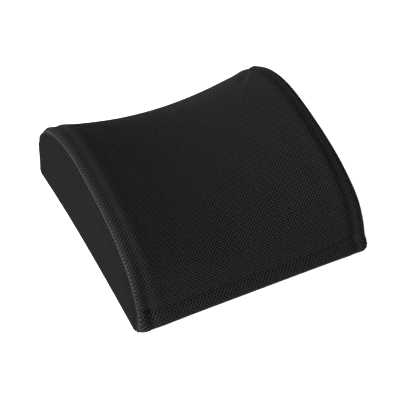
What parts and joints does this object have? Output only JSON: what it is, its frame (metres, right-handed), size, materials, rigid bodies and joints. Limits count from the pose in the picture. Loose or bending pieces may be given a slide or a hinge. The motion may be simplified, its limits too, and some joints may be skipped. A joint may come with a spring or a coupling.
{
  "type": "lumbar support cushion",
  "caption": "Saddle-shaped foam lumbar cushion in a zipped cover, with an air-mesh front, plain cloth sides and rear, and an elastic strap to hold it on a chair's back.",
  "frame": {"origin": "middle of the bounding box, on the flat rear face that the cushion lies on", "axes": "+Z through the thickness, from the rear face to the front; +X across the width; +Y along the length, from the thin upper end to the thick lower end that holds the zip"},
  "size_m": [0.3405, 0.3269, 0.1278],
  "materials": {
    "air_mesh": "matte",
    "side_cloth": "matte",
    "thread": "matte",
    "webbing": "matte",
    "foam": "matte",
    "liner": "matte",
    "zip_nylon": "satin",
    "zip_metal": "satin",
    "label": "satin"
  },
  "bodies": {
    "cushion": {"foam_core": "foam", "foam_liner": "liner", "front_mesh_panel": "air_mesh", "side_panel_left": "side_cloth", "side_panel_right": "side_cloth", "rear_panel": "side_cloth", "seam_binding_left": "webbing", "seam_binding_right": "webbing", "seam_thread_left": "thread", "seam_thread_right": "thread", "rear_seam_thread": "thread", "zip_tape_upper": "webbing", "zip_tape_lower": "webbing", "zip_coil_upper": "zip_nylon", "zip_coil_lower": "zip_nylon", "zip_topstitch_upper": "thread", "zip_topstitch_lower": "thread", "zip_top_stops": "zip_metal", "zip_bottom_stop": "zip_metal", "rear_strap": "webbing", "strap_stitches": "thread", "care_label": "label"},
    "slider": {"zip_slider_body": "zip_metal", "zip_slider_crown": "zip_metal"},
    "pull_tab": {"zip_pull_tab": "zip_metal"}
  },
  "joints": [
    {"name": "zip_slide", "type": "slide", "parent": "cushion", "child": "slider", "axis": [-1, 0, 0], "range_m": [0, 0.2608]},
    {"name": "zip_pull", "type": "hinge", "parent": "slider", "child": "pull_tab", "pos_m": [0.1304, 0.1631, 0.02], "axis": [0, 0, -1], "range_deg": [0, 175]}
  ]
}
